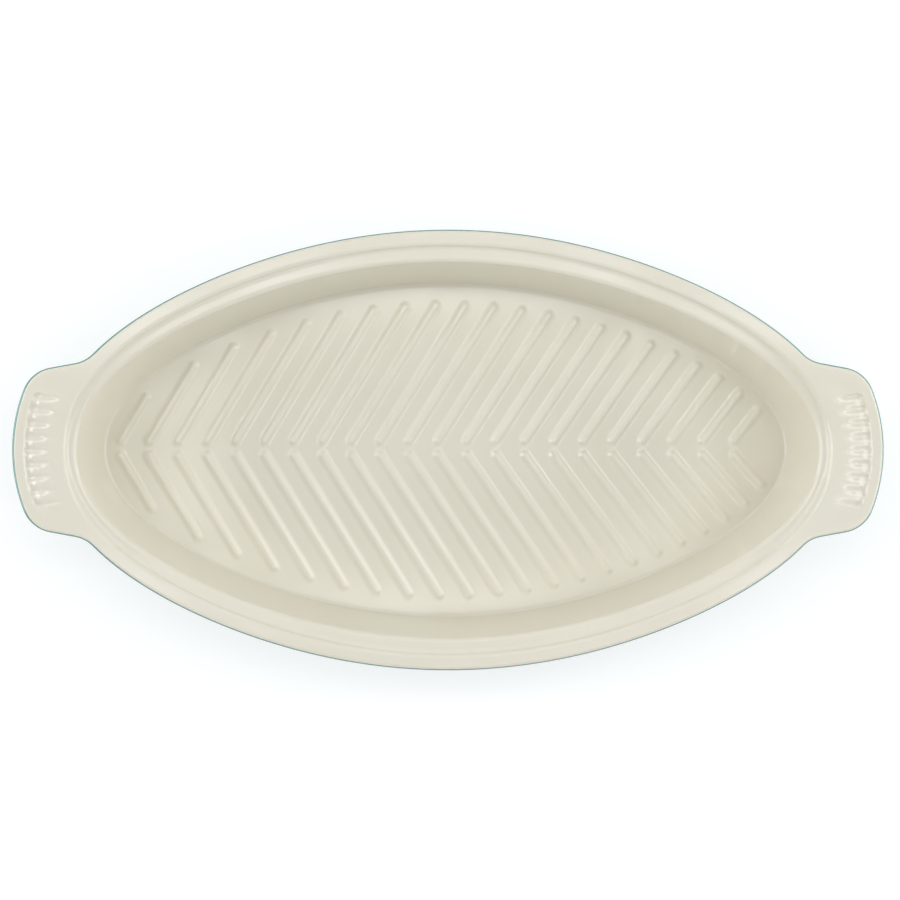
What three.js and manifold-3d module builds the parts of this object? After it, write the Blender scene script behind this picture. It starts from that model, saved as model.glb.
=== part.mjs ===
// Oval stoneware fish dish with two fluted lug handles, cream glaze inside and teal glaze outside.
// Millimetres, +Z up, +X along the dish, origin at the middle of the plane that the foot rests on.
// Every glazed surface is described once, as it looks when finished. The clay lies under it, deeper
// by the glaze coat and a hairline gap, so each solid is the same form made at its own depth.

import * as THREE from 'three';
import { mergeVertices } from 'three/addons/utils/BufferGeometryUtils.js';
import Module from 'manifold-3d';

// Well: the hollow that holds the fish, measured at its mouth
const WELL_LENGTH = 340.6;
const WELL_WIDTH = 172.8;
const WELL_DRAW_IN = 3.7; // how far each quarter of the oval is drawn in from a true ellipse
const DISH_HEIGHT = 50;
const FLOOR_HEIGHT = 8; // resting plane to the top of the floor
const WALL_RUN = 6.5; // how far the wall leans in between mouth and floor
const FLOOR_FILLET = 1.2;
const MOUTH_RADIUS = 2.2;

// Rim: a ledge round the mouth, a step up to the lip, and the outer edge
const RIM_WIDTH = 14.2; // along the sides
const RIM_NARROWING = 2.3; // how much narrower the rim is at the ends of the dish
const RIM_THICKNESS = 8;
const LEDGE_WIDTH = 5.8;
const LEDGE_NARROWING = 2.9;
const STEP_RISE = 3;
const STEP_RUN = 2;
const STEP_RADIUS = 1.6;
const EDGE_RADIUS = 2;
const UNDER_EDGE_RADIUS = 2.5;
const RIM_ROOT_RADIUS = 4;

// Wall, base and the bare foot ring
const WALL_THICKNESS = 6;
const BASE_RADIUS = 3;
const FOOT_HEIGHT = 2;
const FOOT_WIDTH = 5;
const FOOT_SHOULDER = 1.5; // glazed flat between the rounding of the base and the bare clay
const FOOT_BARE = 1; // bare clay left beside the foot, inside and outside

// Glaze coats
const GLAZE = 0.5;
const FIT_GAP = 0.3;
const PARTING_ANGLE = 40; // where cream meets teal on the outer edge, in degrees from straight up

// Lug handles: a crowned end, round corners, flanks that flare towards the rim, and hollow necks
const LUG_REACH = 16.7; // beyond the outer edge of the rim
const LUG_WIDTH = 75; // across the flanks, level with the tip of the rim
const LUG_CROWN_RADIUS = 76;
const LUG_CORNER_RADIUS = 16;
const LUG_FLARE = 10.4; // degrees
const LUG_NECK_RADIUS = 15;

// Flutes: a sunk panel of rounded reeds across the top of each lug
const FLUTE_PITCH = 6.4;
const FLUTE_DEPTH = 1.4; // of the panel, along the foot of its border
const FLUTE_BORDER = 4.6; // from the crowned end of the lug
const FLUTE_SIDE = 11; // least distance from the flanks
const FLUTE_STEP_GAP = 3.1; // from the top of the step in the rim
const FLUTE_WALL_RUN = 1.1; // how far the panel's border slopes on its way down
const FLUTE_FAN = 157; // from the border to the point that the reeds fan out from
const FLUTE_CREST_RUN = 4.6; // from the foot of the border to the crest of a reed
const FLUTE_CREST_SINK = 0.15; // crest below the top of the lug
const FLUTE_CREST_WIDTH = 3.2;
const FLUTE_GROOVE = 0.6; // groove below the crests beside it

// Ribs: two banks of raised bars that slant away from a spine along the floor
const RIB_WIDTH = 5.6;
const RIB_TOP_WIDTH = 1.6;
const RIB_HEIGHT = 1.1;
const RIB_ROOT = 0.6; // how deep a rib is rooted below the surface that it stands on
const RIB_PITCH = 13.9;
const RIB_TAIL_STRETCH = 3.6; // extra length that the last pitches take up
const RIB_HEAD_ANGLE = 59; // from the spine, in degrees, at the left end
const RIB_TAIL_ANGLES = { upper: 51.5, lower: 47.5 };
const RIB_SPINE_GAP = 1.4;
const RIB_SPINE_SHIFT = 1; // the spine lies a little to one side of the middle
const RIB_HEAD_GAP = 0.8; // first rib from the oval that the rib ends follow
const RIB_TAIL_GAP = 17.5; // last rib from the other end of that oval
const RIB_END_GAP = 5.5; // that oval from the flat floor's edge, at the dish's ends
const RIB_SIDE_GAP = 9.3; // and along its sides

// Fineness of the faceted surfaces
const CROWN_STEPS = 3;
const CORNER_STEPS = 3;
const NECK_STEPS = 2;
const SIDE_STEPS = 6;
const WIDE_BEND_STEPS = 2;
const TIGHT_BEND_STEPS = 1;
const RIB_END_STEPS = 2;
const HALVINGS = 50;
const STRETCH_POWER = 8;
const ANGLE_POWER = 2.2;

const wasm = await Module();
wasm.setup();

const radians = THREE.MathUtils.degToRad;
const wellHalfLength = WELL_LENGTH / 2;
const wellHalfWidth = WELL_WIDTH / 2;
const ledgeZ = DISH_HEIGHT - STEP_RISE;
const rimUnderZ = DISH_HEIGHT - RIM_THICKNESS;
const clayDepth = GLAZE + FIT_GAP;
const wallLean = WALL_RUN / (ledgeZ - FLOOR_HEIGHT);
const wallOuter = (z) => WALL_THICKNESS - wallLean * (ledgeZ - z);
const heading = (angle) => new THREE.Vector2(Math.cos(angle), Math.sin(angle));

// Solids

function solidOf(geometry) {
  const mesh = new wasm.Mesh({
    numProp: 3,
    vertProperties: new Float32Array(geometry.attributes.position.array),
    triVerts: new Uint32Array(geometry.index.array),
  });
  return new wasm.Manifold(mesh);
}

function solidFrom(points, triangles) {
  const geometry = new THREE.BufferGeometry();
  geometry.setAttribute('position', new THREE.Float32BufferAttribute(points.flat(), 3));
  geometry.setIndex(triangles.flat());
  return solidOf(geometry);
}

function box(low, high) {
  const size = high.clone().sub(low);
  const geometry = new THREE.BoxGeometry(size.x, size.y, size.z);
  geometry.translate(...low.clone().add(high).multiplyScalar(0.5).toArray());
  geometry.deleteAttribute('normal');
  geometry.deleteAttribute('uv');
  return solidOf(mergeVertices(geometry));
}

// Two triangles between a pair of neighbouring points on one row and the pair on the next row
function quad(a, b, c, d) {
  return [[a, d, c], [a, c, b]];
}

// Skin over closed rings of points. With caps the first and last ring are filled in to a middle point;
// without them the last ring joins the first.
function loft(rings, capped) {
  const count = rings[0].length;
  const points = rings.flat();
  const triangles = [];
  const bands = capped ? rings.length - 1 : rings.length;
  for (let band = 0; band < bands; band += 1) {
    const here = band * count;
    const next = ((band + 1) % rings.length) * count;
    for (let k = 0; k < count; k += 1) {
      const after = (k + 1) % count;
      triangles.push(...quad(here + k, here + after, next + after, next + k));
    }
  }
  if (capped) {
    const last = (rings.length - 1) * count;
    const top = points.push([0, 0, rings[0][0][2]]) - 1;
    const bottom = points.push([0, 0, rings.at(-1)[0][2]]) - 1;
    for (let k = 0; k < count; k += 1) {
      const after = (k + 1) % count;
      triangles.push([top, k, after], [bottom, last + after, last + k]);
    }
  }
  return solidFrom(points, triangles);
}

// Plan of the dish

function ovalPoint(halfLength, halfWidth, turn, outside, narrowing = 0) {
  const along = heading(turn);
  const normal = new THREE.Vector2(along.x / halfLength, along.y / halfWidth).normalize();
  const shift = outside - WELL_DRAW_IN * Math.sin(2 * turn) ** 2 - narrowing * normal.x ** 2;
  const point = new THREE.Vector2(halfLength * along.x, halfWidth * along.y);
  return { point: point.addScaledVector(normal, shift), normal };
}

const wellPoint = (turn, outside, narrowing) => (
  ovalPoint(wellHalfLength, wellHalfWidth, turn, outside, narrowing)
);

// Where a value that rises with the angle turns positive
function crossing(low, high, value) {
  let below = low;
  let above = high;
  for (let k = 0; k < HALVINGS; k += 1) {
    const middle = (below + above) / 2;
    if (value(middle) > 0) {
      above = middle;
    } else {
      below = middle;
    }
  }
  return (below + above) / 2;
}

// Arcs of one flank of the right lug, tangent to each other and to the rim
const rimTip = wellHalfLength + RIM_WIDTH - RIM_NARROWING;
const flankAngle = Math.PI / 2 - radians(LUG_FLARE);
const flankNormal = heading(flankAngle);
const flankReach = flankNormal.dot(new THREE.Vector2(rimTip, LUG_WIDTH / 2));
const crownCentre = new THREE.Vector2(rimTip + LUG_REACH - LUG_CROWN_RADIUS, 0);
const cornerOut = flankReach - LUG_CORNER_RADIUS - flankNormal.dot(crownCentre);
const cornerTurn = flankAngle - Math.acos(cornerOut / (LUG_CROWN_RADIUS - LUG_CORNER_RADIUS));
const cornerCentre = crownCentre.clone()
  .addScaledVector(heading(cornerTurn), LUG_CROWN_RADIUS - LUG_CORNER_RADIUS);
const neckOut = RIM_WIDTH + LUG_NECK_RADIUS;
const neckTurn = crossing(0, Math.PI / 2, (turn) => (
  flankNormal.dot(wellPoint(turn, neckOut, RIM_NARROWING).point) - flankReach - LUG_NECK_RADIUS
));
const neck = wellPoint(neckTurn, neckOut, RIM_NARROWING);

function arcColumns(centre, radius, from, to, steps) {
  return Array.from({ length: steps + 1 }, (_, k) => {
    const normal = heading(from + ((to - from) * k) / steps);
    return { point: centre.clone().addScaledVector(normal, radius), normal };
  });
}

// One quarter of the outline, from the tip of the right lug to the middle of the long side. Each
// column is a point of the outline, its outward normal, and the turn of the oval that it pairs with.
function quarterColumns() {
  const lug = [
    ...arcColumns(crownCentre, LUG_CROWN_RADIUS, 0, cornerTurn, CROWN_STEPS),
    ...arcColumns(cornerCentre, LUG_CORNER_RADIUS, cornerTurn, flankAngle, CORNER_STEPS).slice(1),
    ...arcColumns(neck.point, -LUG_NECK_RADIUS, flankAngle, neck.normal.angle(), NECK_STEPS),
  ];
  const lengths = [0];
  for (let k = 1; k < lug.length; k += 1) {
    lengths.push(lengths[k - 1] + lug[k].point.distanceTo(lug[k - 1].point));
  }
  lug.forEach((column, k) => {
    column.turn = (neckTurn * lengths[k]) / lengths.at(-1);
  });
  const side = Array.from({ length: SIDE_STEPS }, (_, k) => {
    const turn = neckTurn + ((Math.PI / 2 - neckTurn) * (k + 1)) / SIDE_STEPS;
    return { ...wellPoint(turn, RIM_WIDTH, RIM_NARROWING), turn };
  });
  return [...lug, ...side];
}

// The whole outline, anticlockwise from the right tip, by mirroring the quarter
function allColumns() {
  const quarter = quarterColumns();
  const last = quarter.length - 1;
  const mirrored = (list, x, y) => list.map((column) => ({ ...column, x, y }));
  return [
    ...mirrored(quarter.slice(0, last), 1, 1),
    ...mirrored(quarter.slice(1).reverse(), -1, 1),
    ...mirrored(quarter.slice(0, last), -1, -1),
    ...mirrored(quarter.slice(1).reverse(), 1, -1),
  ];
}

const columns = allColumns();

// A ring round the dish at one point of the section. Points on the edge follow the outline with its
// lugs, and all others follow the oval.
function ring(spot) {
  return columns.map((column) => {
    const plan = spot.edge
      ? column.point.clone().addScaledVector(column.normal, spot.out - RIM_WIDTH)
      : wellPoint(column.turn, spot.out, spot.narrowing).point;
    return [column.x * plan.x, column.y * plan.y, spot.z];
  });
}

// Section of the dish: how far each point lies outside the mouth of the well, its height, and the
// direction out of the clay, going from the floor over the rim to the base

function spotAt(place, normal, edge) {
  return { out: place.x, z: place.y, normal, edge };
}

function arcSpots(centre, radius, from, to, steps, edge) {
  return arcColumns(centre, radius, from, to, steps).map(({ point, normal }) => spotAt(point, normal, edge));
}

// Points round a rounded corner of the section. The clay is on the right of the way along it.
function bend(before, corner, after, radius, steps, edge = false) {
  const inward = corner.clone().sub(before).normalize();
  const onward = after.clone().sub(corner).normalize();
  const turn = Math.atan2(inward.cross(onward), inward.dot(onward));
  const side = Math.sign(turn);
  const start = corner.clone().addScaledVector(inward, -radius * Math.tan(Math.abs(turn) / 2));
  const from = inward.angle() + Math.PI / 2;
  const centre = start.addScaledVector(heading(from), side * radius);
  return arcSpots(centre, -side * radius, from, from + turn, steps, edge);
}

const floorMiddle = new THREE.Vector2(-wellHalfWidth, FLOOR_HEIGHT);
const floorCorner = new THREE.Vector2(-WALL_RUN, FLOOR_HEIGHT);
const mouth = new THREE.Vector2(0, ledgeZ);
const stepFoot = new THREE.Vector2(LEDGE_WIDTH, ledgeZ);
const stepTop = new THREE.Vector2(LEDGE_WIDTH + STEP_RUN, DISH_HEIGHT);
const edgeCentre = new THREE.Vector2(RIM_WIDTH - EDGE_RADIUS, DISH_HEIGHT - EDGE_RADIUS);
const edgeSide = new THREE.Vector2(RIM_WIDTH, DISH_HEIGHT - EDGE_RADIUS);
const underEdge = new THREE.Vector2(RIM_WIDTH, rimUnderZ);
const rimRoot = new THREE.Vector2(wallOuter(rimUnderZ), rimUnderZ);
const baseCorner = new THREE.Vector2(wallOuter(FOOT_HEIGHT), FOOT_HEIGHT);
const baseMiddle = new THREE.Vector2(-wellHalfWidth, FOOT_HEIGHT);
const creamEnd = Math.PI / 2 - radians(PARTING_ANGLE);
const tealStart = creamEnd - FIT_GAP / EDGE_RADIUS;

const lipEnd = edgeSide.clone().setY(DISH_HEIGHT);
const lipBend = bend(stepFoot, stepTop, lipEnd, STEP_RADIUS, TIGHT_BEND_STEPS);
const step = [...bend(mouth, stepFoot, stepTop, STEP_RADIUS, TIGHT_BEND_STEPS), ...lipBend];
const inside = [
  ...bend(floorMiddle, floorCorner, mouth, FLOOR_FILLET, WIDE_BEND_STEPS),
  ...bend(floorCorner, mouth, stepFoot, MOUTH_RADIUS, WIDE_BEND_STEPS),
  ...step.map((spot) => ({ ...spot, narrowing: LEDGE_NARROWING })),
  ...arcSpots(edgeCentre, EDGE_RADIUS, Math.PI / 2, creamEnd, TIGHT_BEND_STEPS, true),
];
const outside = [
  ...arcSpots(edgeCentre, EDGE_RADIUS, tealStart, 0, TIGHT_BEND_STEPS, true),
  ...bend(edgeSide, underEdge, rimRoot, UNDER_EDGE_RADIUS, WIDE_BEND_STEPS, true),
  ...bend(underEdge, rimRoot, baseCorner, RIM_ROOT_RADIUS, TIGHT_BEND_STEPS),
  ...bend(rimRoot, baseCorner, baseMiddle, BASE_RADIUS, WIDE_BEND_STEPS),
];
const flatFloor = -inside[0].out;
const outerGlazeEnd = outside.at(-1).out - FOOT_SHOULDER;
const footOuter = outerGlazeEnd - FOOT_BARE;
const footInner = footOuter - FOOT_WIDTH;
const baseGlazeEdge = footInner - FOOT_BARE;

// The same stretch of section, deeper in the clay
function sunk(section, depth) {
  return section.map((spot) => (
    { ...spot, out: spot.out - spot.normal.x * depth, z: spot.z - spot.normal.y * depth }
  ));
}

const ringsOf = (section, depth) => sunk(section, depth).map(ring);

// Ribs of the floor

const ribEnds = {
  length: wellHalfLength - flatFloor - RIB_END_GAP,
  width: wellHalfWidth - flatFloor - RIB_SIDE_GAP,
};
const ribSlope = RIB_HEIGHT / ((RIB_WIDTH - RIB_TOP_WIDTH) / 2);
const ribNarrowing = Math.tan(Math.atan(ribSlope) / 2);
const spineLength = 2 * ribEnds.length - RIB_HEAD_GAP - RIB_TAIL_GAP - RIB_TAIL_STRETCH;
const ribPitches = Math.floor(spineLength / RIB_PITCH);

// Middle line of a rib: from beside the spine to the oval that the outer ends follow. The oval is
// met where its points pass from one side of the line to the other.
function ribLine(index, side, tailAngle) {
  const share = index / ribPitches;
  const angle = radians(RIB_HEAD_ANGLE - (RIB_HEAD_ANGLE - tailAngle) * share ** ANGLE_POWER);
  const way = heading(angle);
  const start = new THREE.Vector2(
    RIB_HEAD_GAP - ribEnds.length + RIB_PITCH * index + RIB_TAIL_STRETCH * share ** STRETCH_POWER,
    (RIB_SPINE_GAP + RIB_WIDTH) / 2 + side * RIB_SPINE_SHIFT,
  );
  const limit = (turn) => ovalPoint(ribEnds.length, ribEnds.width, turn, 0).point;
  const level = Math.PI - Math.asin(start.y / ribEnds.width);
  const turn = crossing(0, level, (angleOut) => way.cross(limit(angleOut).sub(start)));
  return [start, limit(turn)].map((point) => point.setY(side * point.y));
}

// A rib is a bar with round ends and sloping flanks, rooted below the floor
function ribSolid([start, end], depth, root) {
  const direction = end.clone().sub(start).angle();
  const floorZ = FLOOR_HEIGHT - depth;
  const contour = (halfWidth, z) => [
    ...arcColumns(end, halfWidth, direction - Math.PI / 2, direction + Math.PI / 2, RIB_END_STEPS),
    ...arcColumns(start, halfWidth, direction + Math.PI / 2, direction + 1.5 * Math.PI, RIB_END_STEPS),
  ].map(({ point }) => [point.x, point.y, z]);
  const narrower = ribNarrowing * depth;
  const top = contour(RIB_TOP_WIDTH / 2 - narrower, floorZ + RIB_HEIGHT);
  const bottom = contour(RIB_WIDTH / 2 - narrower + root / ribSlope, floorZ - root);
  const count = top.length;
  const triangles = [];
  for (let k = 0; k < count; k += 1) {
    const after = (k + 1) % count;
    triangles.push(...quad(k, after, count + after, count + k));
  }
  for (let k = 1; k < count - 1; k += 1) {
    triangles.push([0, k, k + 1], [count, count + k + 1, count + k]);
  }
  return solidFrom([...top, ...bottom], triangles);
}

const ribLines = [];
for (let index = 0; index <= ribPitches; index += 1) {
  ribLines.push(ribLine(index, 1, RIB_TAIL_ANGLES.upper), ribLine(index, -1, RIB_TAIL_ANGLES.lower));
}

const ribs = (depth, root) => wasm.Manifold.union(ribLines.map((line) => ribSolid(line, depth, root)));

// Flutes of the lugs

const fluteRadius = LUG_CROWN_RADIUS - FLUTE_BORDER;
const reedCount = Math.floor((LUG_WIDTH - 2 * FLUTE_SIDE) / FLUTE_PITCH);
const panelHalf = (reedCount * FLUTE_PITCH) / 2;
const fadeLift = GLAZE / 4; // the reeds run out just above the top of the lug
const lipStart = wellHalfLength + lipBend.at(-1).out - LEDGE_NARROWING;
const fluteLength = rimTip + LUG_REACH - FLUTE_BORDER - lipStart - FLUTE_STEP_GAP;

// Space above the fluted panel of one lug, up to the height that is asked for. Its underside is a grid:
// rows follow the crowned end, and columns run along the grooves and along both edges of each crest.
function fluteSpace(side, depth, topZ) {
  const footZ = DISH_HEIGHT - FLUTE_DEPTH - depth;
  const crestZ = DISH_HEIGHT - FLUTE_CREST_SINK - depth;
  const grooveZ = crestZ - FLUTE_GROOVE;
  const fadeZ = DISH_HEIGHT - depth + fadeLift;
  const border = (z) => (FLUTE_WALL_RUN * (topZ - z)) / FLUTE_DEPTH;
  const crestStart = FLUTE_WALL_RUN + FLUTE_CREST_RUN;
  const rows = [
    { inward: FLUTE_WALL_RUN - border(footZ), groove: topZ, crest: topZ, border: border(footZ) },
    { inward: FLUTE_WALL_RUN, groove: footZ, crest: footZ + FLUTE_GROOVE, border: border(footZ) },
    { inward: crestStart, groove: grooveZ, crest: crestZ, border: border(grooveZ) },
    { inward: fluteLength, groove: fadeZ, crest: fadeZ, border: border(fadeZ) },
    { inward: fluteLength + border(fadeZ), groove: topZ, crest: topZ, border: border(fadeZ) },
  ];
  const crestEdge = (FLUTE_PITCH - FLUTE_CREST_WIDTH) / 2;
  const lines = [{ y: -panelHalf, kind: 'border' }];
  for (let reed = 0; reed < reedCount; reed += 1) {
    const y = reed * FLUTE_PITCH - panelHalf;
    lines.push({ y, kind: 'groove' });
    lines.push({ y: y + crestEdge, kind: 'crest' });
    lines.push({ y: y + FLUTE_PITCH - crestEdge, kind: 'crest' });
  }
  lines.push({ y: panelHalf, kind: 'groove' }, { y: panelHalf, kind: 'border' });
  const below = rows.flatMap((row) => lines.map(({ y, kind }) => {
    const isBorder = kind === 'border';
    const across = isBorder ? y + Math.sign(y) * row.border : y;
    const along = crownCentre.x + Math.sqrt(fluteRadius ** 2 - across ** 2) - row.inward;
    return [side * along, across * (1 - row.inward / FLUTE_FAN), isBorder ? topZ : row[kind]];
  }));
  const points = [...below];
  const lid = below.map(([x, y, z], index) => (z === topZ ? index : points.push([x, y, topZ]) - 1));
  const triangles = [];
  for (let row = 0; row < rows.length - 1; row += 1) {
    for (let column = 0; column < lines.length - 1; column += 1) {
      const here = row * lines.length + column;
      const corners = [here, here + 1, here + 1 + lines.length, here + lines.length];
      triangles.push(...quad(...(side > 0 ? corners : corners.toReversed())));
      const above = corners.map((index) => lid[index]);
      triangles.push(...quad(...(side > 0 ? above.toReversed() : above)));
    }
  }
  return solidFrom(points, triangles);
}

const flutes = (depth, topZ) => wasm.Manifold.union([-1, 1].map((side) => fluteSpace(side, depth, topZ)));
const aboveLugs = DISH_HEIGHT + FLUTE_DEPTH;

// Clay

const clay = loft([
  ...ringsOf(inside, clayDepth),
  ...ringsOf(outside, clayDepth),
  ring({ out: footOuter, z: FOOT_HEIGHT + clayDepth }),
  ring({ out: footOuter, z: 0 }),
  ring({ out: footInner, z: 0 }),
  ring({ out: footInner, z: FOOT_HEIGHT + clayDepth }),
], true)
  .add(ribs(clayDepth, RIB_ROOT))
  .subtract(flutes(clayDepth, aboveLugs));

// Each lug is luted on where the wall's outer face ends the body
const lugJoint = wellHalfLength + WALL_THICKNESS;

function beyondJoint(side, shift) {
  const rimHalfWidth = wellHalfWidth + RIM_WIDTH;
  const low = new THREE.Vector3(lugJoint + shift, -rimHalfWidth, 0);
  const high = new THREE.Vector3(rimTip + 2 * LUG_REACH, rimHalfWidth, aboveLugs);
  return side > 0
    ? box(low, high)
    : box(new THREE.Vector3(-high.x, low.y, low.z), new THREE.Vector3(-low.x, high.y, high.z));
}

const body = clay
  .subtract(beyondJoint(-1, -FIT_GAP / 2))
  .subtract(beyondJoint(1, -FIT_GAP / 2));
const lug = (side) => clay.intersect(beyondJoint(side, FIT_GAP / 2));

// Glaze

const innerGlaze = loft([...ringsOf(inside, 0), ...ringsOf(inside, GLAZE).toReversed()], true)
  .add(ribs(0, GLAZE / 2))
  .add(flutes(GLAZE, DISH_HEIGHT - GLAZE / 2))
  .subtract(ribs(GLAZE, RIB_ROOT))
  .subtract(flutes(0, aboveLugs));

const outerGlazeFoot = spotAt(new THREE.Vector2(outerGlazeEnd, FOOT_HEIGHT), heading(-Math.PI / 2));
const glazedOutside = [...outside, outerGlazeFoot];
const outerGlaze = loft([...ringsOf(glazedOutside, 0), ...ringsOf(glazedOutside, GLAZE).toReversed()], false);

const baseGlaze = loft([
  ring({ out: baseGlazeEdge, z: FOOT_HEIGHT + GLAZE }),
  ring({ out: baseGlazeEdge, z: FOOT_HEIGHT }),
], true);

// Scene

const creamGlaze = new THREE.MeshStandardMaterial({ color: '#e0ddcf', roughness: 0.22, metalness: 0 });
const tealGlaze = new THREE.MeshStandardMaterial({ color: '#3f8785', roughness: 0.18, metalness: 0 });
const firedClay = new THREE.MeshStandardMaterial({ color: '#cdbfa6', roughness: 0.85, metalness: 0 });

function piece(name, solid, material) {
  const { vertProperties, triVerts } = solid.getMesh();
  const geometry = new THREE.BufferGeometry();
  geometry.setAttribute('position', new THREE.BufferAttribute(vertProperties, 3));
  geometry.setIndex(new THREE.BufferAttribute(triVerts, 1));
  geometry.computeVertexNormals();
  const mesh = new THREE.Mesh(geometry, material);
  mesh.name = name;
  return mesh;
}

const dish = new THREE.Group();
dish.name = 'fish_dish';
dish.add(
  piece('stoneware_body', body, firedClay),
  piece('left_handle', lug(-1), firedClay),
  piece('right_handle', lug(1), firedClay),
  piece('inner_glaze', innerGlaze, creamGlaze),
  piece('outer_glaze', outerGlaze, tealGlaze),
  piece('base_glaze', baseGlaze, tealGlaze),
);

export default dish;
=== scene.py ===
"""Looks of an oval stoneware fish dish with a ribbed well and two fluted lug handles: cream glaze
inside, teal glaze outside, bare clay on the foot ring. Metres, in the frame of the solids: +X along
the dish, +Z up, the foot resting on z = 0."""

import math
from collections import namedtuple

import bmesh
import bpy
import numpy as np
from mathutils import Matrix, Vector
from mathutils.geometry import delaunay_2d_cdt


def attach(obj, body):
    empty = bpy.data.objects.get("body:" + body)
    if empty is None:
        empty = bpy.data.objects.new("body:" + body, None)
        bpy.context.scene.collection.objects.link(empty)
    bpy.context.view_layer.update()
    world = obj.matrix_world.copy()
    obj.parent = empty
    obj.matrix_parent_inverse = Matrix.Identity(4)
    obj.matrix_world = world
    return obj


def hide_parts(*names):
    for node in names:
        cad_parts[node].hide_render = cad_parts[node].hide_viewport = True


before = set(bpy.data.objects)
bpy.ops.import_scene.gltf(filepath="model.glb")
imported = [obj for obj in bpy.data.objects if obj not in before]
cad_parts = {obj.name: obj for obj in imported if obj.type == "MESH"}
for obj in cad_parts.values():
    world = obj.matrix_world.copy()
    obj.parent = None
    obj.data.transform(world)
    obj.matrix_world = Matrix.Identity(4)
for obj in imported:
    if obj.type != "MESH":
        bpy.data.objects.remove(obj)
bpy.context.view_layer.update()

# Well, measured at its mouth
WELL_LENGTH = 0.3406
WELL_WIDTH = 0.1728
WELL_DRAW_IN = 0.0037  # how far each quarter of the oval is drawn in from a true ellipse
DISH_HEIGHT = 0.050
FLOOR_HEIGHT = 0.008
WALL_RUN = 0.0065  # how far the wall leans out from the floor to the ledge
FLOOR_FILLET_ENDS = 0.0012  # radius between floor and wall at the ends of the dish
FLOOR_FILLET_SIDES = 0.0022  # the same along its sides
FILLET_POWER = 3  # how soon the radius falls off from the sides to the ends
MOUTH_RADIUS = 0.0022  # between wall and ledge

# Rim
RIM_WIDTH = 0.0142  # from the mouth to the outer edge
RIM_NARROWING = 0.0023  # how much narrower the rim is at the ends of the dish
RIM_THICKNESS = 0.008
LEDGE_WIDTH = 0.0064  # from the mouth to the foot of the step
LEDGE_NARROWING = 0.0029  # how much narrower the ledge is at the ends
STEP_RISE = 0.003
STEP_RUN = 0.0008
STEP_RADIUS = 0.002
EDGE_RADIUS = 0.002
UNDER_EDGE_RADIUS = 0.0025
RIM_ROOT_RADIUS = 0.004

# Wall, base and foot ring
WALL_THICKNESS = 0.006
BASE_RADIUS = 0.003
FOOT_HEIGHT = 0.002
FOOT_WIDTH = 0.005
FOOT_SHOULDER = 0.0015
FOOT_BARE = 0.001
FOOT_EDGE_RADIUS = 0.0006

# Glaze coats
GLAZE = 0.0005  # thickness of a coat
GLAZE_BED = 0.00005  # hairline between a coat and the clay
FIT_GAP = 0.0003  # between the body and a luted lug
PARTING_SIDES = math.radians(40)  # where cream meets teal on the outer edge, from straight up
PARTING_LEFT = math.radians(18)
PARTING_RIGHT = math.radians(28)

# Lug handles
LUG_REACH = 0.0167
LUG_WIDTH = 0.075
LUG_CROWN_RADIUS = 0.076
LUG_CORNER_RADIUS = 0.016
LUG_FLARE = math.radians(10.4)
LUG_NECK_RADIUS = 0.015
LUG_DISHING = 0.0002  # how far the top of a lug sinks between its border and the rim
LUG_BORDER = 0.0045  # flat border along the outline, before the dishing starts
LUG_BORDER_RUN = 0.006
RIM_RIDGE = 0.0018  # flat of the lip that runs on across the root of a lug
RIM_RIDGE_RUN = 0.010

# Flutes across the top of each lug
FLUTE_PITCH = 0.0064
FLUTE_DEPTH = 0.0014
FLUTE_BORDER = 0.0052  # from the tip of a lug to the panel
FLUTE_SIDE = 0.011  # least border at the two sides of the panel
FLUTE_STEP_GAP = 0.0031  # from the lip to where the flutes have faded out
FLUTE_WALL_RUN = 0.0011  # slope down from the border into the panel
FLUTE_CORNER = 0.0026  # radius of the panel's corners
FLUTE_FAN = 0.157  # from the outer end of the panel to where the reeds would meet
FLUTE_CREST_RUN = 0.0042  # stretch over which the reeds climb
FLUTE_CREST_SINK = 0.00015  # how far their crests stay below the top of the lug
FLUTE_GROOVE = 0.0006  # depth of the grooves between the reeds
FLUTE_GROOVE_ROUND = 0.22  # share of a reed's height that its groove is rounded by

# Ribs of the floor
RIB_REACH = 0.0039  # from a rib's middle line to where its foot dies away
RIB_HEIGHT = 0.0011
RIB_CREST = 0.0003  # half the width of a rib's flat top
RIB_PITCH = 0.0139
RIB_TAIL_STRETCH = 0.0036
RIB_HEAD_ANGLE = math.radians(59)
RIB_TAIL_ANGLES = {1: math.radians(51.5), -1: math.radians(47.5)}
RIB_SPINE_HALF = 0.0035  # from the spine to the round end of a rib's middle line
RIB_SPINE_SHIFT = 0.001
RIB_HEAD_GAP = 0.0008
RIB_TAIL_GAP = 0.0175
RIB_END_GAP = 0.0055
RIB_SIDE_GAP = 0.0093
STRETCH_POWER = 8  # how late the spacing widens along the spine
ANGLE_POWER = 2.2  # how late the slant changes along the spine

# Fineness
CROWN_STEPS = 16
CORNER_STEPS = 12
FLANK_STEPS = 3
NECK_STEPS = 8
SIDE_STEPS = 56
BEND_STEPS = 7
HALVINGS = 50
RIB_SHARES = (0.06, 0.13, 0.2, 0.28, 0.38, 0.5, 0.62, 0.73, 0.82, 0.9, 0.96, 1.0, 1.04)
RIB_END_STEPS = 9
LUG_GRID = 0.00055
SLOPE_STEP = 0.00002
MERGE_DISTANCE = 1e-7
NEAREST_TURNS = 5
FAN_TURNS = 4
SHARP_ANGLE = math.radians(35)

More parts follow.
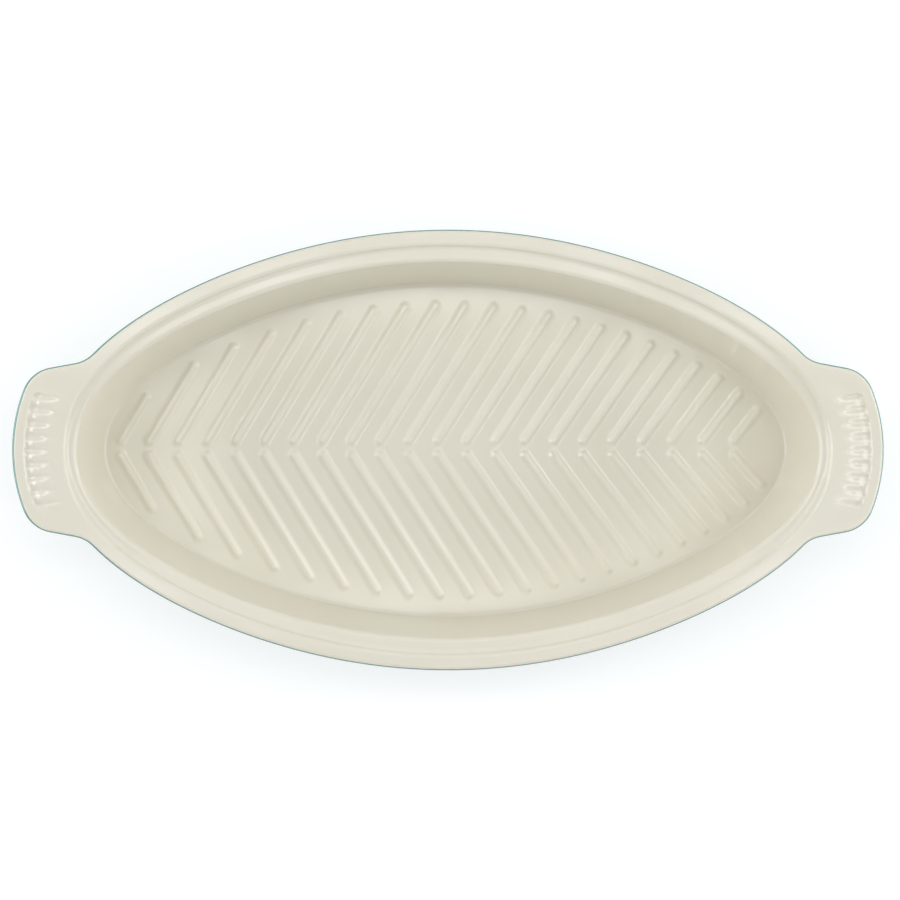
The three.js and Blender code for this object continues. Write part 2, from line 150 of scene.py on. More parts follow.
# Glazes and clay. A noise is its scale, its detail and its roughness.
NOISE_RANGE = (0.35, 0.65)  # where most of a noise lies
CREAM_PALE = (0.800, 0.776, 0.670)
CREAM_DEEP = (0.788, 0.758, 0.646)
CREAM_POOLS = (22, 3, 0.5)
CREAM_ROUGHNESS = (0.09, 0.12)
TEAL_DEEP = (0.028, 0.150, 0.160)
TEAL_MIDDLE = (0.045, 0.205, 0.210)
TEAL_THIN = (0.130, 0.300, 0.260)
TEAL_MOTTLE = (35, 4, 0.5)
TEAL_ROUGHNESS = (0.12, 0.18)
GLAZE_IOR = 1.6
GLAZE_SHEEN = (60, 2, 0.5)
GLAZE_FLOW = (150, 1, 0.5)
GLAZE_RIPPLE = 0.000012
CLAY_PALE = (0.62, 0.53, 0.39)
CLAY_WARM = (0.55, 0.45, 0.31)
CLAY_SPECK = (0.30, 0.22, 0.14)
CLAY_CLOUD = (40, 3, 0.5)
CLAY_GRAIN = (2600, 3, 0.7)
CLAY_GRAIN_DEPTH = 0.00004
CLAY_SPECKLE = (900, 1, 0.5)
CLAY_SPECKLE_RANGE = (0.68, 0.76)
CLAY_ROUGHNESS = (0.78, 0.92)

# Stage, light and camera
FLOOR_SIZE = 6.0
FLOOR_COLOUR = (0.45, 0.474, 0.479)
FLOOR_ROUGHNESS = 0.9
FLOOR_GLOW = 0.61  # what the floor adds to its lit colour, as the camera sees it
WORLD_COLOUR = (1.0, 1.0, 1.0)
WORLD_STRENGTH = 0.14
CAMERA_PLACE = (-0.0225, 0, 0.783)
CAMERA_LENS = 64.4
CAMERA_SHIFT = 0.0571  # brings the dish back to the middle of the picture
# Softboxes: place, the way they face, width and height, and brightness, where 1 looks white. The strips
# hang where the floor and the ribs mirror them.
DOWN = (0, 0, -1)
SOFTBOXES = {
    "left_box": ((-1.2, 0.1, 1.2), DOWN, (0.6, 0.8), 4.6),
    "right_box": ((1.3, 0.25, 1.2), DOWN, (0.7, 1.1), 2.8),
    "back_left_box": ((-1.2, 1.05, 1.2), DOWN, (0.8, 0.6), 1.4),
    "back_box": ((0.075, 0.38, 1.2), DOWN, (1.95, 0.2), 3.3),
    "front_box": ((0.65, -0.36, 1.2), DOWN, (1.3, 0.16), 3.5),
    "back_strip": ((0.02, 0.19, 1.2), DOWN, (0.46, 0.05), 3.2),
    "back_left_strip": ((-0.34, 0.15, 1.2), DOWN, (0.26, 0.05), 3.0),
    "back_right_strip": ((0.62, 0.145, 1.2), DOWN, (0.75, 0.05), 2.6),
    "front_strip": ((0.02, -0.19, 1.2), DOWN, (0.46, 0.05), 2.1),
    "front_left_strip": ((-0.34, -0.15, 1.2), DOWN, (0.26, 0.05), 2.2),
    "front_right_strip": ((0.46, -0.145, 1.2), DOWN, (0.42, 0.05), 2.4),
    "left_strip": ((-0.29, 0, 1.2), DOWN, (0.12, 0.2), 1.5),
    "left_low_box": ((-1.4, 0, 0.35), (1, 0, 0), (1.0, 0.7), 4.0),
    "right_low_box": ((1.4, 0, 0.35), (-1, 0, 0), (1.0, 0.7), 3.9),
    "back_low_box": ((0, 1.1, 0.4), (0, -1, 0), (2.0, 0.7), 0.85),
    "front_low_box": ((0, -1.1, 0.4), (0, 1, 0), (2.0, 0.7), 0.85),
}

half_length = WELL_LENGTH / 2
half_width = WELL_WIDTH / 2
ledge_z = DISH_HEIGHT - STEP_RISE
rim_under_z = DISH_HEIGHT - RIM_THICKNESS
wall_lean = WALL_RUN / (ledge_z - FLOOR_HEIGHT)

# Spot of the section: how far it lies outside the mouth, its height and normal, whether it follows the
# outline with the lugs, and how much less it moves out at the ends
Spot = namedtuple("Spot", "out z normal edge narrowing", defaults=(False, 0))


# Plan of the dish


def heading(angle):
    return np.stack([np.cos(angle), np.sin(angle)], axis=-1)


def oval(length, width, turn, outside, narrowing=0):
    """Points of the drawn-in oval at the given angles, moved outside, and the normals there. With a
    narrowing they move out less towards the ends."""
    along = heading(np.asarray(turn, float))
    normal = along / (length, width)
    normal /= np.linalg.norm(normal, axis=-1, keepdims=True)
    shift = outside - WELL_DRAW_IN * np.sin(2 * np.asarray(turn)) ** 2 - narrowing * normal[..., 0] ** 2
    return along * (length, width) + normal * np.asarray(shift)[..., None], normal


def outside_of(points, outside=0, narrowing=0):
    """How far points lie outside the mouth of the well, or outside a line round it. Negative within."""
    turn = np.arctan2(points[:, 1] / half_width, points[:, 0] / half_length)
    for _ in range(NEAREST_TURNS):
        base, normal = oval(half_length, half_width, turn, outside, narrowing)
        slip = (points[:, 1] - base[:, 1]) * normal[:, 0] - (points[:, 0] - base[:, 0]) * normal[:, 1]
        turn = turn + slip / np.hypot(half_length * np.sin(turn), half_width * np.cos(turn))
    return ((points - base) * normal).sum(axis=1)


def crossing(low, high, value):
    """Where a value that rises turns positive."""
    for _ in range(HALVINGS):
        middle = (low + high) / 2
        low, high = (low, middle) if value(middle) > 0 else (middle, high)
    return low


def arc(centre, radius, start, end, steps):
    normal = heading(np.linspace(start, end, steps + 1))
    return centre + radius * normal, normal


rim_tip = half_length + RIM_WIDTH - RIM_NARROWING
flank_angle = math.pi / 2 - LUG_FLARE
flank_normal = heading(flank_angle)
flank_reach = flank_normal @ (rim_tip, LUG_WIDTH / 2)
crown_centre = np.array([rim_tip + LUG_REACH - LUG_CROWN_RADIUS, 0])
corner_offset = LUG_CROWN_RADIUS - LUG_CORNER_RADIUS
corner_out = flank_reach - LUG_CORNER_RADIUS - flank_normal @ crown_centre
corner_turn = flank_angle - math.acos(corner_out / corner_offset)
corner_centre = crown_centre + corner_offset * heading(corner_turn)


def neck_miss(turn):
    centre, _ = oval(half_length, half_width, turn, RIM_WIDTH + LUG_NECK_RADIUS, RIM_NARROWING)
    return flank_normal @ centre - flank_reach - LUG_NECK_RADIUS


neck_turn = crossing(0, math.pi / 2, neck_miss)
neck_centre, neck_normal = oval(
    half_length, half_width, neck_turn, RIM_WIDTH + LUG_NECK_RADIUS, RIM_NARROWING
)


def quarter_outline():
    """Outline from the tip of the right lug to the middle of the long side: points, normals, and the
    turns of the oval that they pair with."""
    crown = arc(crown_centre, LUG_CROWN_RADIUS, 0, corner_turn, CROWN_STEPS)
    corner = arc(corner_centre, LUG_CORNER_RADIUS, corner_turn, flank_angle, CORNER_STEPS)
    neck_end = math.atan2(neck_normal[1], neck_normal[0])
    neck = arc(neck_centre, -LUG_NECK_RADIUS, flank_angle, neck_end, NECK_STEPS)
    share = np.linspace(0, 1, FLANK_STEPS + 1)[1:-1, None]
    flank = corner[0][-1] * (1 - share) + neck[0][0] * share
    points = np.concatenate([crown[0], corner[0][1:], flank, neck[0]])
    normals = np.concatenate([crown[1], corner[1][1:], np.tile(flank_normal, (len(flank), 1)), neck[1]])
    lengths = np.concatenate([[0], np.cumsum(np.linalg.norm(np.diff(points, axis=0), axis=1))])
    turns = neck_turn * lengths / lengths[-1]
    side_turns = np.linspace(neck_turn, math.pi / 2, SIDE_STEPS + 1)[1:]
    side_points, side_normals = oval(half_length, half_width, side_turns, RIM_WIDTH, RIM_NARROWING)
    return (
        np.concatenate([points, side_points]),
        np.concatenate([normals, side_normals]),
        np.concatenate([turns, side_turns]),
        len(points),
    )


def whole_outline():
    """The outline anticlockwise from the right tip, by mirroring the quarter."""
    points, normals, turns, lug_count = quarter_outline()
    on_lug = np.arange(len(turns)) < lug_count
    ways = ((1, 1), (-1, 1), (-1, -1), (1, -1))
    shown = (lambda t: t, lambda t: math.pi - t, lambda t: math.pi + t, lambda t: 2 * math.pi - t)
    parts = []
    for number, (way, turned) in enumerate(zip(ways, shown)):
        columns = slice(None, -1) if number % 2 == 0 else slice(None, 0, -1)
        plan = (points[columns] * way, normals[columns] * way)
        parts.append((*plan, turned(turns[columns]), on_lug[columns]))
    return (np.concatenate(values) for values in zip(*parts))


outline, outline_normal, turns, on_lug = whole_outline()
column_count = len(turns)
lug_half_span = np.abs(outline[on_lug, 1]).max()
to_left = np.clip(-outline_normal[:, 0], 0, 1) ** 2
to_right = np.clip(outline_normal[:, 0], 0, 1) ** 2
left_change = (PARTING_LEFT - PARTING_SIDES) * to_left
right_change = (PARTING_RIGHT - PARTING_SIDES) * to_right
parting_angle = math.pi / 2 - (PARTING_SIDES + left_change + right_change)


# Section of the dish, from the floor over the rim to the base


def wall_outer(z):
    return WALL_THICKNESS - wall_lean * (ledge_z - z)


def bend(before, corner, after, radius, edge=False, narrowing=0):
    """Spots round a rounded corner of the section. The clay is on the right of the way along it."""
    before, corner, after = (np.asarray(place, float) for place in (before, corner, after))
    inward = (corner - before) / np.linalg.norm(corner - before)
    onward = (after - corner) / np.linalg.norm(after - corner)
    turn = math.atan2(inward[0] * onward[1] - inward[1] * onward[0], inward @ onward)
    side = math.copysign(1, turn)
    start = corner - inward * radius * math.tan(abs(turn) / 2)
    angle = math.atan2(inward[1], inward[0]) + math.pi / 2
    centre = start + side * radius * heading(angle)
    places, normals = arc(centre, -side * radius, angle, angle + turn, BEND_STEPS)
    return [Spot(*place, normal, edge, narrowing) for place, normal in zip(places, normals)]


def edge_arc(start, end):
    """Spots round the outer edge. The angles may differ from column to column."""
    spots = []
    for share in np.linspace(0, 1, BEND_STEPS + 1):
        normal = heading(start + (end - start) * share)
        out = RIM_WIDTH - EDGE_RADIUS + EDGE_RADIUS * normal[..., 0]
        z = DISH_HEIGHT - EDGE_RADIUS + EDGE_RADIUS * normal[..., 1]
        spots.append(Spot(out, z, normal, True))
    return spots


def sunk(spots, depth):
    """The same stretch of section, deeper in the clay."""
    return [
        spot._replace(
            out=spot.out - spot.normal[..., 0] * depth,
            z=spot.z - spot.normal[..., 1] * depth,
        )
        for spot in spots
    ]


floor_middle = (-half_width, FLOOR_HEIGHT)
floor_corner = (-WALL_RUN, FLOOR_HEIGHT)
mouth = (0, ledge_z)
step_foot = (LEDGE_WIDTH, ledge_z)
step_top = (LEDGE_WIDTH + STEP_RUN, DISH_HEIGHT)
lip_end = (RIM_WIDTH, DISH_HEIGHT)
edge_side = (RIM_WIDTH, DISH_HEIGHT - EDGE_RADIUS)
under_edge = (RIM_WIDTH, rim_under_z)
rim_root = (wall_outer(rim_under_z), rim_under_z)
base_corner = (wall_outer(FOOT_HEIGHT), FOOT_HEIGHT)
base_middle = (-half_width, FOOT_HEIGHT)

ends_bend = bend(floor_middle, floor_corner, mouth, FLOOR_FILLET_ENDS)
sides_bend = bend(floor_middle, floor_corner, mouth, FLOOR_FILLET_SIDES)
to_side = (oval(half_length, half_width, turns, 0)[1][:, 1] ** 2) ** FILLET_POWER
floor_bend = [
    end._replace(out=end.out + (side.out - end.out) * to_side, z=end.z + (side.z - end.z) * to_side)
    for end, side in zip(ends_bend, sides_bend)
]
well_spots = [
    *floor_bend,
    *bend(floor_corner, mouth, step_foot, MOUTH_RADIUS),
    *bend(mouth, step_foot, step_top, STEP_RADIUS, narrowing=LEDGE_NARROWING),
    *bend(step_foot, step_top, lip_end, STEP_RADIUS, narrowing=LEDGE_NARROWING),
]
cream_edge = edge_arc(np.full(column_count, math.pi / 2), parting_angle)
teal_edge = edge_arc(parting_angle, np.zeros(column_count))
under_spots = [
    *bend(edge_side, under_edge, rim_root, UNDER_EDGE_RADIUS, True),
    *bend(under_edge, rim_root, base_corner, RIM_ROOT_RADIUS),
    *bend(rim_root, base_corner, base_middle, BASE_RADIUS),
]
flat_floor = ends_bend[0].out
lip_start = well_spots[-1].out
outer_glaze_end = under_spots[-1].out - FOOT_SHOULDER
foot_outer = outer_glaze_end - FOOT_BARE
foot_inner = foot_outer - FOOT_WIDTH
base_glaze_edge = foot_inner - FOOT_BARE
down = heading(-math.pi / 2)


def ring(spot):
    """Points and normals round the dish at one spot of the section. Spots on the edge follow the
    outline with its lugs, and all others follow the oval."""
    if spot.edge:
        plan = outline + outline_normal * np.broadcast_to(spot.out - RIM_WIDTH, column_count)[:, None]
        plan_normal = outline_normal
    else:
        plan, plan_normal = oval(half_length, half_width, turns, spot.out, spot.narrowing)
    slope = np.broadcast_to(spot.normal, (column_count, 2))
    points = np.column_stack([plan, np.broadcast_to(spot.z, column_count)])
    return points, np.column_stack([plan_normal * slope[:, :1], slope[:, 1]])


# Ribs of the floor

rib_length = half_length + flat_floor - RIB_END_GAP
rib_width = half_width + flat_floor - RIB_SIDE_GAP
spine_length = 2 * rib_length - RIB_HEAD_GAP - RIB_TAIL_GAP - RIB_TAIL_STRETCH
rib_pitches = math.floor(spine_length / RIB_PITCH)


def rib_line(index, side):
    """Middle line of a rib, from beside the spine to the oval that the outer ends follow."""
    share = index / rib_pitches
    angle = RIB_HEAD_ANGLE - (RIB_HEAD_ANGLE - RIB_TAIL_ANGLES[side]) * share**ANGLE_POWER
    way = heading(angle)
    x = RIB_HEAD_GAP - rib_length + RIB_PITCH * index + RIB_TAIL_STRETCH * share**STRETCH_POWER
    start = np.array([x, RIB_SPINE_HALF + side * RIB_SPINE_SHIFT])

    def beyond(turn):
        apart = oval(rib_length, rib_width, turn, 0)[0] - start
        return way[0] * apart[1] - way[1] * apart[0]

    turn = crossing(0, math.pi - math.asin(start[1] / rib_width), beyond)
    end = oval(rib_length, rib_width, turn, 0)[0]
    return start * (1, side), end * (1, side)


rib_lines = [rib_line(index, side) for index in range(rib_pitches + 1) for side in (1, -1)]


def ramp(value, start, end):
    """Smooth change from 0 at start to 1 at end."""
    share = np.clip((value - start) / (end - start), 0, 1)
    return share * share * (3 - 2 * share)


def rib_rise(points):
    """Height of the ribs above the floor: a round crest whose flanks run out softly."""
    rise = np.zeros(len(points))
    for start, end in rib_lines:
        line = end - start
        share = np.clip((points - start) @ line / (line @ line), 0, 1)
        apart = np.linalg.norm(points - start - share[:, None] * line, axis=1)
        flank = np.clip((apart - RIB_CREST) / (RIB_REACH - RIB_CREST), 0, 1)
        rise += RIB_HEIGHT * (1 - flank) ** 3 * (1 + 3 * flank)
    return rise


def floor_height(points):
    return FLOOR_HEIGHT + rib_rise(points)


def rib_contours():
    """Points of nested contours round each rib, and the edges along them."""
    points, edges = [], []
    for start, end in rib_lines:
        way = math.atan2(*(end - start)[::-1])
        edges.append((len(points), len(points) + 1))
        points.extend([start, end])
        for share in RIB_SHARES:
            radius = RIB_REACH * share
            far, _ = arc(end, radius, way - math.pi / 2, way + math.pi / 2, RIB_END_STEPS)
            near, _ = arc(start, radius, way + math.pi / 2, way + 1.5 * math.pi, RIB_END_STEPS)
            loop = [*far, *near]
            first = len(points)
            points.extend(loop)
            edges.extend((first + k, first + (k + 1) % len(loop)) for k in range(len(loop)))
    return np.array(points), edges


# Tops of the lugs

flute_radius = LUG_CROWN_RADIUS - FLUTE_BORDER
reed_count = math.floor((LUG_WIDTH - 2 * FLUTE_SIDE) / FLUTE_PITCH)
panel_half = reed_count * FLUTE_PITCH / 2
lip_x = half_length + lip_start - LEDGE_NARROWING
flute_length = rim_tip + LUG_REACH - FLUTE_BORDER - lip_x - FLUTE_STEP_GAP


def flute_depth(points):
    """How far the fluted panels lie below the top of a lug. The reeds fan out from a point in the
    dish."""
    along = np.abs(points[:, 0])
    across = points[:, 1]
    for _ in range(FAN_TURNS):
        sideward = np.minimum(np.abs(across), LUG_WIDTH / 2)
        inward = crown_centre[0] + np.sqrt(flute_radius**2 - sideward**2) - along
        across = points[:, 1] / (1 - inward / FLUTE_FAN)
    sideways = panel_half + FLUTE_WALL_RUN - np.abs(across)
    corner = np.hypot(np.maximum(FLUTE_CORNER - inward, 0), np.maximum(FLUTE_CORNER - sideways, 0))
    border = ramp(FLUTE_CORNER - corner, 0, FLUTE_WALL_RUN)
    climb = ramp(inward, FLUTE_WALL_RUN, FLUTE_WALL_RUN + FLUTE_CREST_RUN)
    fade = 1 - ramp(inward, FLUTE_WALL_RUN + FLUTE_CREST_RUN, flute_length)
    crest_foot = FLUTE_DEPTH - FLUTE_GROOVE
    wave = np.sin(math.pi * (across + panel_half) / FLUTE_PITCH)
    rounded = np.hypot(wave, FLUTE_GROOVE_ROUND)
    reed = (rounded - FLUTE_GROOVE_ROUND) / (math.hypot(1, FLUTE_GROOVE_ROUND) - FLUTE_GROOVE_ROUND)
    crest = crest_foot + (FLUTE_CREST_SINK - crest_foot) * climb
    return border * fade * (crest + FLUTE_GROOVE * (1 - reed))


def inset_of(points):
    """How far points lie within the outline."""
    apart = points[:, None, :] - outline[None, on_lug, :]
    nearest = np.argmin((apart**2).sum(axis=2), axis=1)
    picked = apart[np.arange(len(points)), nearest]
    return -(picked * outline_normal[on_lug][nearest]).sum(axis=1)


def lug_height(points):
    past_lip = outside_of(points, lip_start, LEDGE_NARROWING)
    past_ridge = ramp(past_lip, RIM_RIDGE, RIM_RIDGE + RIM_RIDGE_RUN)
    within_border = ramp(inset_of(points), LUG_BORDER, LUG_BORDER + LUG_BORDER_RUN)
    return DISH_HEIGHT - LUG_DISHING * past_ridge * within_border - flute_depth(points)


def lug_grid(side):
    """Points that fill the top of one lug, clear of its edges."""
    x = np.arange(half_length, rim_tip + LUG_REACH, LUG_GRID)
    y = np.arange(-LUG_WIDTH, LUG_WIDTH + LUG_GRID, LUG_GRID)
    points = np.stack(np.meshgrid(side * x, y), axis=-1).reshape(-1, 2)
    past_lip = outside_of(points, lip_start, LEDGE_NARROWING)
    clear = (past_lip > LUG_GRID / 2) & (inset_of(points) > EDGE_RADIUS + LUG_GRID / 2)
    return points[clear & (np.abs(points[:, 1]) < lug_half_span)]


# Meshes


class Skin:
    """Points with the normals of the surface there, and faces between them."""

    def __init__(self):
        self.points = []
        self.normals = []
        self.faces = []

    def add(self, points, normals):
        first = len(self.points)
        self.points.extend(map(tuple, points))
        self.normals.extend(map(tuple, normals))
        return list(range(first, len(self.points)))

    def rings(self, spots):
        """Rings at these spots, with the bands between them. Returns the rings."""
        made = [self.add(*ring(spot)) for spot in spots]
        for inner, outer in zip(made, made[1:]):
            self.band(inner, outer, range(column_count))
        return made

    def band(self, inner, outer, columns):
        for k in columns:
            after = (k + 1) % column_count
            self.faces.append((inner[k], outer[k], outer[after], inner[after]))

    def patch(self, loop, points, edges, height):
        """Fills an anticlockwise loop with a surface through more points, at a height that a function
        of the plan gives."""
        places = [Vector(self.points[index][:2]) for index in loop]
        places += [Vector(point) for point in points]
        borders = [(k, (k + 1) % len(loop)) for k in range(len(loop))]
        inner = [(a + len(loop), b + len(loop)) for a, b in edges]
        found, _, faces, origins, _, _ = delaunay_2d_cdt(places, borders + inner, [], 1, MERGE_DISTANCE)
        plan = np.array([tuple(place) for place in found])
        on_loop = [[index for index in origin if index < len(loop)] for origin in origins]
        fresh = [k for k, indices in enumerate(on_loop) if not indices]
        made = self.add(*surface(plan[fresh], height))
        place_of = dict(zip(fresh, made))
        for k, indices in enumerate(on_loop):
            if indices:
                place_of[k] = loop[indices[0]]
        for a, b, c in faces:
            first, second = plan[b] - plan[a], plan[c] - plan[a]
            corners = (a, b, c) if first[0] * second[1] > first[1] * second[0] else (a, c, b)
            self.faces.append(tuple(place_of[k] for k in corners))

    def cap(self, loop, turned):
        self.faces.append(tuple(loop[::-1] if turned else loop))


def surface(plan, height):
    """Points and normals of a surface over points of the plan."""
    steps = [np.array(step) * SLOPE_STEP for step in ((1, 0), (0, 1))]
    slopes = [(height(plan + step) - height(plan - step)) / (2 * SLOPE_STEP) for step in steps]
    normals = np.column_stack([-slopes[0], -slopes[1], np.ones(len(plan))])
    normals /= np.linalg.norm(normals, axis=1, keepdims=True)
    return np.column_stack([plan, height(plan)]), normals


def cream_skin():
    skin = Skin()
    well = skin.rings(well_spots)
    points, edges = rib_contours()
    skin.patch(well[0], points, edges, floor_height)
    edge = skin.rings(cream_edge)
    lip, outer = well[-1], edge[0]
    plain = [k for k in range(column_count) if not (on_lug[k] and on_lug[(k + 1) % column_count])]
    skin.band(lip, outer, plain)
    right = [k for k in range(-column_count // 2, column_count // 2) if on_lug[k] and outline[k, 0] > 0]
    left = [k for k in range(column_count) if on_lug[k] and outline[k, 0] < 0]
    for side, columns in ((1, right), (-1, left)):
        loop = [outer[k] for k in columns] + [lip[k] for k in reversed(columns)]
        skin.patch(loop, lug_grid(side), [], lug_height)
    return skin


def teal_skin():
    skin = Skin()
    skin.rings([*teal_edge, *under_spots, Spot(outer_glaze_end, FOOT_HEIGHT, down)])
    return skin


def base_skin():
    skin = Skin()
    rings = skin.rings([Spot(base_glaze_edge, FOOT_HEIGHT, down)])
    skin.cap(rings[-1], True)
    return skin


def mesh_of(name, points, faces):
    mesh = bpy.data.meshes.new(name)
    mesh.from_pydata(points, [], faces)
    mesh.polygons.foreach_set("use_smooth", [True] * len(faces))
    return mesh


def coat(name, skin, thickness):
    """Closed mesh of a glaze coat that lies under a skin. It is shaded by the skin's own normals, apart
    from the faces round its open edges, which keep the mesh's."""
    points, normals = np.array(skin.points), np.array(skin.normals)
    count = len(points)
    ways = {(face[k], face[(k + 1) % len(face)]) for face in skin.faces for k in range(len(face))}
    rims = [(a, b) for a, b in ways if (b, a) not in ways]
    faces = list(skin.faces)
    faces += [tuple(count + k for k in reversed(face)) for face in skin.faces]
    faces += [(b, a, count + a, count + b) for a, b in sorted(rims)]
    mesh = mesh_of(name, np.concatenate([points, points - normals * thickness]), faces)
    shading = np.concatenate([normals, -normals])
    corners = [k for face in faces for k in face]
    loops = shading[corners]
    loops[len(corners) - 4 * len(rims):] = 0
    mesh.normals_split_custom_set(loops)
    return mesh


def foot_spots():
    """Section of the bare foot ring, with softened edges."""
    root = FOOT_HEIGHT + GLAZE
    places = [(foot_outer, root), (foot_outer, 0), (foot_inner, 0), (foot_inner, root)]
    return [
        Spot(*places[0], heading(0.0)),
        *bend(*places[:3], FOOT_EDGE_RADIUS),
        *bend(*places[1:], FOOT_EDGE_RADIUS),
        Spot(*places[3], heading(math.pi)),
    ]


def clay_mesh(name):
    """Clay body under the coats, cut off where each lug is luted on."""
    depth = GLAZE + GLAZE_BED
    skin = Skin()
    spots = [*sunk([*well_spots, *cream_edge, *teal_edge[1:], *under_spots], depth), *foot_spots()]
    rings = skin.rings(spots)
    skin.cap(rings[0], False)
    skin.cap(rings[-1], True)
    mesh = mesh_of(name, skin.points, skin.faces)
    solid = bmesh.new()
    solid.from_mesh(mesh)
    for side in (-1, 1):
        joint = side * (half_length + WALL_THICKNESS - FIT_GAP / 2)
        everything = [*solid.verts, *solid.edges, *solid.faces]
        bmesh.ops.bisect_plane(
            solid, geom=everything, plane_co=(joint, 0, 0), plane_no=(side, 0, 0), clear_outer=True
        )
        open_edges = [edge for edge in solid.edges if edge.is_boundary]
        bmesh.ops.holes_fill(solid, edges=open_edges, sides=0)
    solid.to_mesh(mesh)
    solid.free()
    mesh.set_sharp_from_angle(angle=SHARP_ANGLE)
    return mesh


# Materials


class Nodes:
    """A new material with a Principled shader, and short ways to add nodes to it."""

    def __init__(self, name):
        self.material = bpy.data.materials.new(name)
        self.material.use_nodes = True
        self.tree = self.material.node_tree
        self.shader = self.tree.nodes["Principled BSDF"]
        self.place = self.add("ShaderNodeTexCoord").outputs["Object"]

    def add(self, kind, **settings):
        node = self.tree.nodes.new(kind)
        for name, value in settings.items():
            setattr(node, name, value)
        return node

    def link(self, source, target):
        self.tree.links.new(source, target)

    def noise(self, scale, detail, roughness):
        node = self.add("ShaderNodeTexNoise")
        node.inputs["Scale"].default_value = scale
        node.inputs["Detail"].default_value = detail
        node.inputs["Roughness"].default_value = roughness
        self.link(self.place, node.inputs["Vector"])
        return node.outputs["Fac"]

    def spread(self, value, low, high, start=NOISE_RANGE[0], end=NOISE_RANGE[1]):
        """A value from start to end, mapped to the range from low to high."""
        node = self.add("ShaderNodeMapRange")
        node.inputs["From Min"].default_value = start
        node.inputs["From Max"].default_value = end
        node.inputs["To Min"].default_value = low
        node.inputs["To Max"].default_value = high
        self.link(value, node.inputs["Value"])
        return node.outputs["Result"]

    def mix(self, share, first, second):
        """Colours blended by a share. Each is a colour or a socket."""
        node = self.add("ShaderNodeMix", data_type="RGBA")
        self.link(share, node.inputs["Factor"])
        sockets = [socket for socket in node.inputs if socket.type == "RGBA"]
        for socket, colour in zip(sockets, (first, second)):
            if isinstance(colour, tuple):
                socket.default_value = (*colour, 1)
            else:
                self.link(colour, socket)
        return next(socket for socket in node.outputs if socket.type == "RGBA")

    def bump(self, height, distance):
        node = self.add("ShaderNodeBump")
        node.inputs["Distance"].default_value = distance
        self.link(height, node.inputs["Height"])
        self.link(node.outputs["Normal"], self.shader.inputs["Normal"])

    def height(self):
        split = self.add("ShaderNodeSeparateXYZ")
        self.link(self.place, split.inputs["Vector"])
        return split.outputs["Z"]


def cream_glaze():
    """Glossy cream glaze, a little uneven in depth and flow."""
    nodes = Nodes("cream_glaze")
    pooled = nodes.spread(nodes.noise(*CREAM_POOLS), 0, 1)
    sheen = nodes.spread(nodes.noise(*GLAZE_SHEEN), *CREAM_ROUGHNESS)
    nodes.link(nodes.mix(pooled, CREAM_PALE, CREAM_DEEP), nodes.shader.inputs["Base Color"])
    nodes.link(sheen, nodes.shader.inputs["Roughness"])
    nodes.bump(nodes.noise(*GLAZE_FLOW), GLAZE_RIPPLE)
    nodes.shader.inputs["IOR"].default_value = GLAZE_IOR
    return nodes.material


def teal_glaze():
    """Glossy mottled teal glaze, paler where it thins over the rim."""
    nodes = Nodes("teal_glaze")
    mottle = nodes.spread(nodes.noise(*TEAL_MOTTLE), 0, 1)
    sheen = nodes.spread(nodes.noise(*GLAZE_SHEEN), *TEAL_ROUGHNESS)
    body = nodes.mix(mottle, TEAL_DEEP, TEAL_MIDDLE)
    thin = nodes.spread(nodes.height(), 0, 1, DISH_HEIGHT - 2 * RIM_THICKNESS, DISH_HEIGHT)
    nodes.link(nodes.mix(thin, body, TEAL_THIN), nodes.shader.inputs["Base Color"])
    nodes.link(sheen, nodes.shader.inputs["Roughness"])
    nodes.bump(nodes.noise(*GLAZE_FLOW), GLAZE_RIPPLE)
    nodes.shader.inputs["IOR"].default_value = GLAZE_IOR
    return nodes.material


def fired_clay():
    """Bare fired stoneware: dry, fine-grained, with small darker specks."""
    nodes = Nodes("fired_clay")
    grain_noise = nodes.noise(*CLAY_GRAIN)
    grain = nodes.spread(grain_noise, 0, 1)
    cloud = nodes.spread(nodes.noise(*CLAY_CLOUD), 0, 1)
    specks = nodes.spread(nodes.noise(*CLAY_SPECKLE), 0, 1, *CLAY_SPECKLE_RANGE)
    ground = nodes.mix(cloud, CLAY_PALE, CLAY_WARM)
    grained = nodes.mix(grain, ground, CLAY_PALE)
    nodes.link(nodes.mix(specks, grained, CLAY_SPECK), nodes.shader.inputs["Base Color"])
    nodes.link(nodes.spread(grain, *CLAY_ROUGHNESS, 0, 1), nodes.shader.inputs["Roughness"])
    nodes.bump(grain_noise, CLAY_GRAIN_DEPTH)
    return nodes.material


# Pieces


def piece(mesh, material, node):
    mesh.materials.append(material)
    made = bpy.data.objects.new(mesh.name, mesh)
    bpy.context.scene.collection.objects.link(made)
    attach(made, "root")
    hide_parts(node)


cream, teal, clay = cream_glaze(), teal_glaze(), fired_clay()
piece(coat("cream_coat", cream_skin(), GLAZE), cream, "inner_glaze")
piece(coat("teal_coat", teal_skin(), GLAZE), teal, "outer_glaze")
piece(coat("base_coat", base_skin(), GLAZE), teal, "base_glaze")
piece(clay_mesh("clay_body"), clay, "stoneware_body")
for name in ("left_handle", "right_handle"):
    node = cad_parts[name]
    node.data.materials.clear()
    node.data.materials.append(clay)


# Stage, light and camera


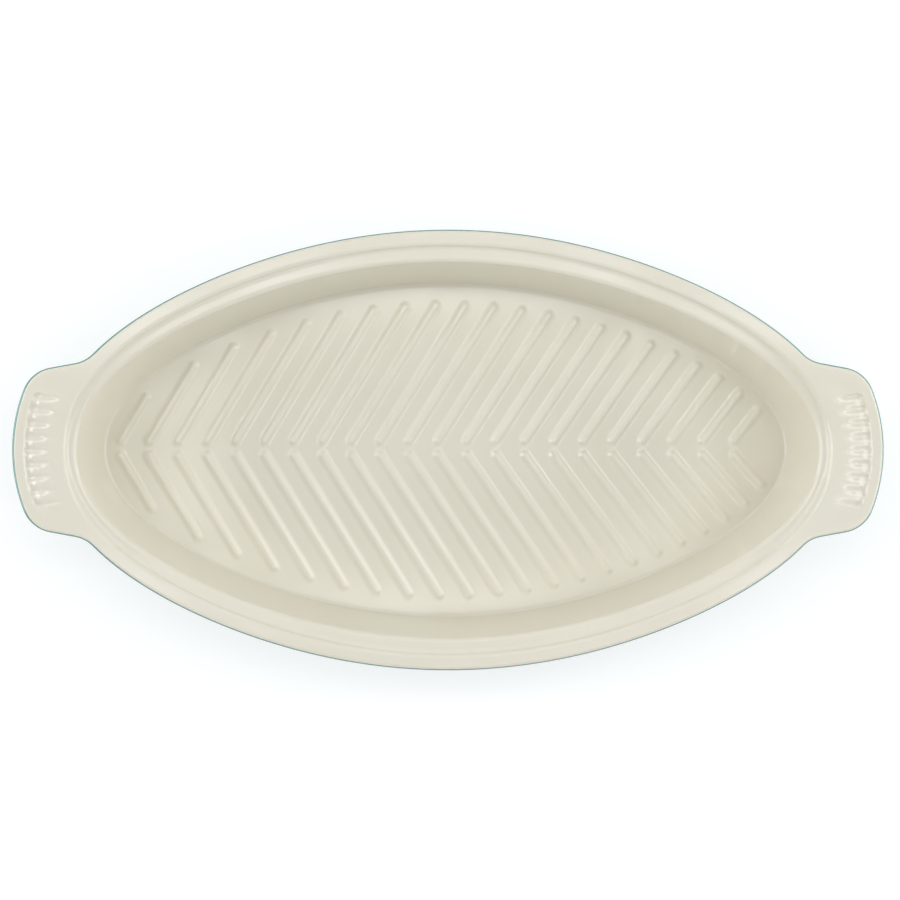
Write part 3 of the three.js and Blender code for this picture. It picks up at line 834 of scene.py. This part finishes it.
def stage_floor():
    mesh = bpy.data.meshes.new("studio_floor")
    half = FLOOR_SIZE / 2
    corners = [(-half, -half, 0), (half, -half, 0), (half, half, 0), (-half, half, 0)]
    mesh.from_pydata(corners, [], [(0, 1, 2, 3)])
    nodes = Nodes("studio_floor")
    nodes.shader.inputs["Base Color"].default_value = (*FLOOR_COLOUR, 1)
    nodes.shader.inputs["Roughness"].default_value = FLOOR_ROUGHNESS
    glow = nodes.add("ShaderNodeEmission")
    total = nodes.add("ShaderNodeAddShader")
    path = nodes.add("ShaderNodeLightPath")
    reflected = nodes.add("ShaderNodeMath", operation="MAXIMUM")
    seen = nodes.add("ShaderNodeMath", operation="MAXIMUM")
    strength = nodes.add("ShaderNodeMath", operation="MULTIPLY")
    nodes.link(path.outputs["Is Glossy Ray"], reflected.inputs[0])
    nodes.link(path.outputs["Is Transmission Ray"], reflected.inputs[1])
    nodes.link(path.outputs["Is Camera Ray"], seen.inputs[0])
    nodes.link(reflected.outputs[0], seen.inputs[1])
    nodes.link(seen.outputs[0], strength.inputs[0])
    strength.inputs[1].default_value = FLOOR_GLOW
    nodes.link(strength.outputs[0], glow.inputs["Strength"])
    nodes.link(nodes.shader.outputs[0], total.inputs[0])
    nodes.link(glow.outputs[0], total.inputs[1])
    nodes.link(total.outputs[0], nodes.tree.nodes["Material Output"].inputs["Surface"])
    mesh.materials.append(nodes.material)
    floor = bpy.data.objects.new("studio_floor", mesh)
    bpy.context.scene.collection.objects.link(floor)


def studio_light():
    world = bpy.data.worlds.new("studio")
    world.use_nodes = True
    background = world.node_tree.nodes["Background"]
    background.inputs["Color"].default_value = (*WORLD_COLOUR, 1)
    background.inputs["Strength"].default_value = WORLD_STRENGTH
    bpy.context.scene.world = world
    for name, (place, facing, size, brightness) in SOFTBOXES.items():
        light = bpy.data.lights.new(name, "AREA")
        light.shape = "RECTANGLE"
        light.size, light.size_y = size
        light.energy = math.pi * size[0] * size[1] * brightness
        lamp = bpy.data.objects.new(name, light)
        lamp.location = place
        lamp.rotation_euler = Vector(facing).to_track_quat("-Z", "Y").to_euler()
        bpy.context.scene.collection.objects.link(lamp)


def photo_camera():
    """Camera above the dish, a little to the left of its middle, that looks straight down."""
    data = bpy.data.cameras.new("camera")
    data.lens = CAMERA_LENS
    data.shift_x = CAMERA_SHIFT
    camera = bpy.data.objects.new("camera", data)
    camera.location = CAMERA_PLACE
    bpy.context.scene.collection.objects.link(camera)
    bpy.context.scene.camera = camera


stage_floor()
studio_light()
photo_camera()
bpy.context.scene.view_settings.view_transform = "Standard"
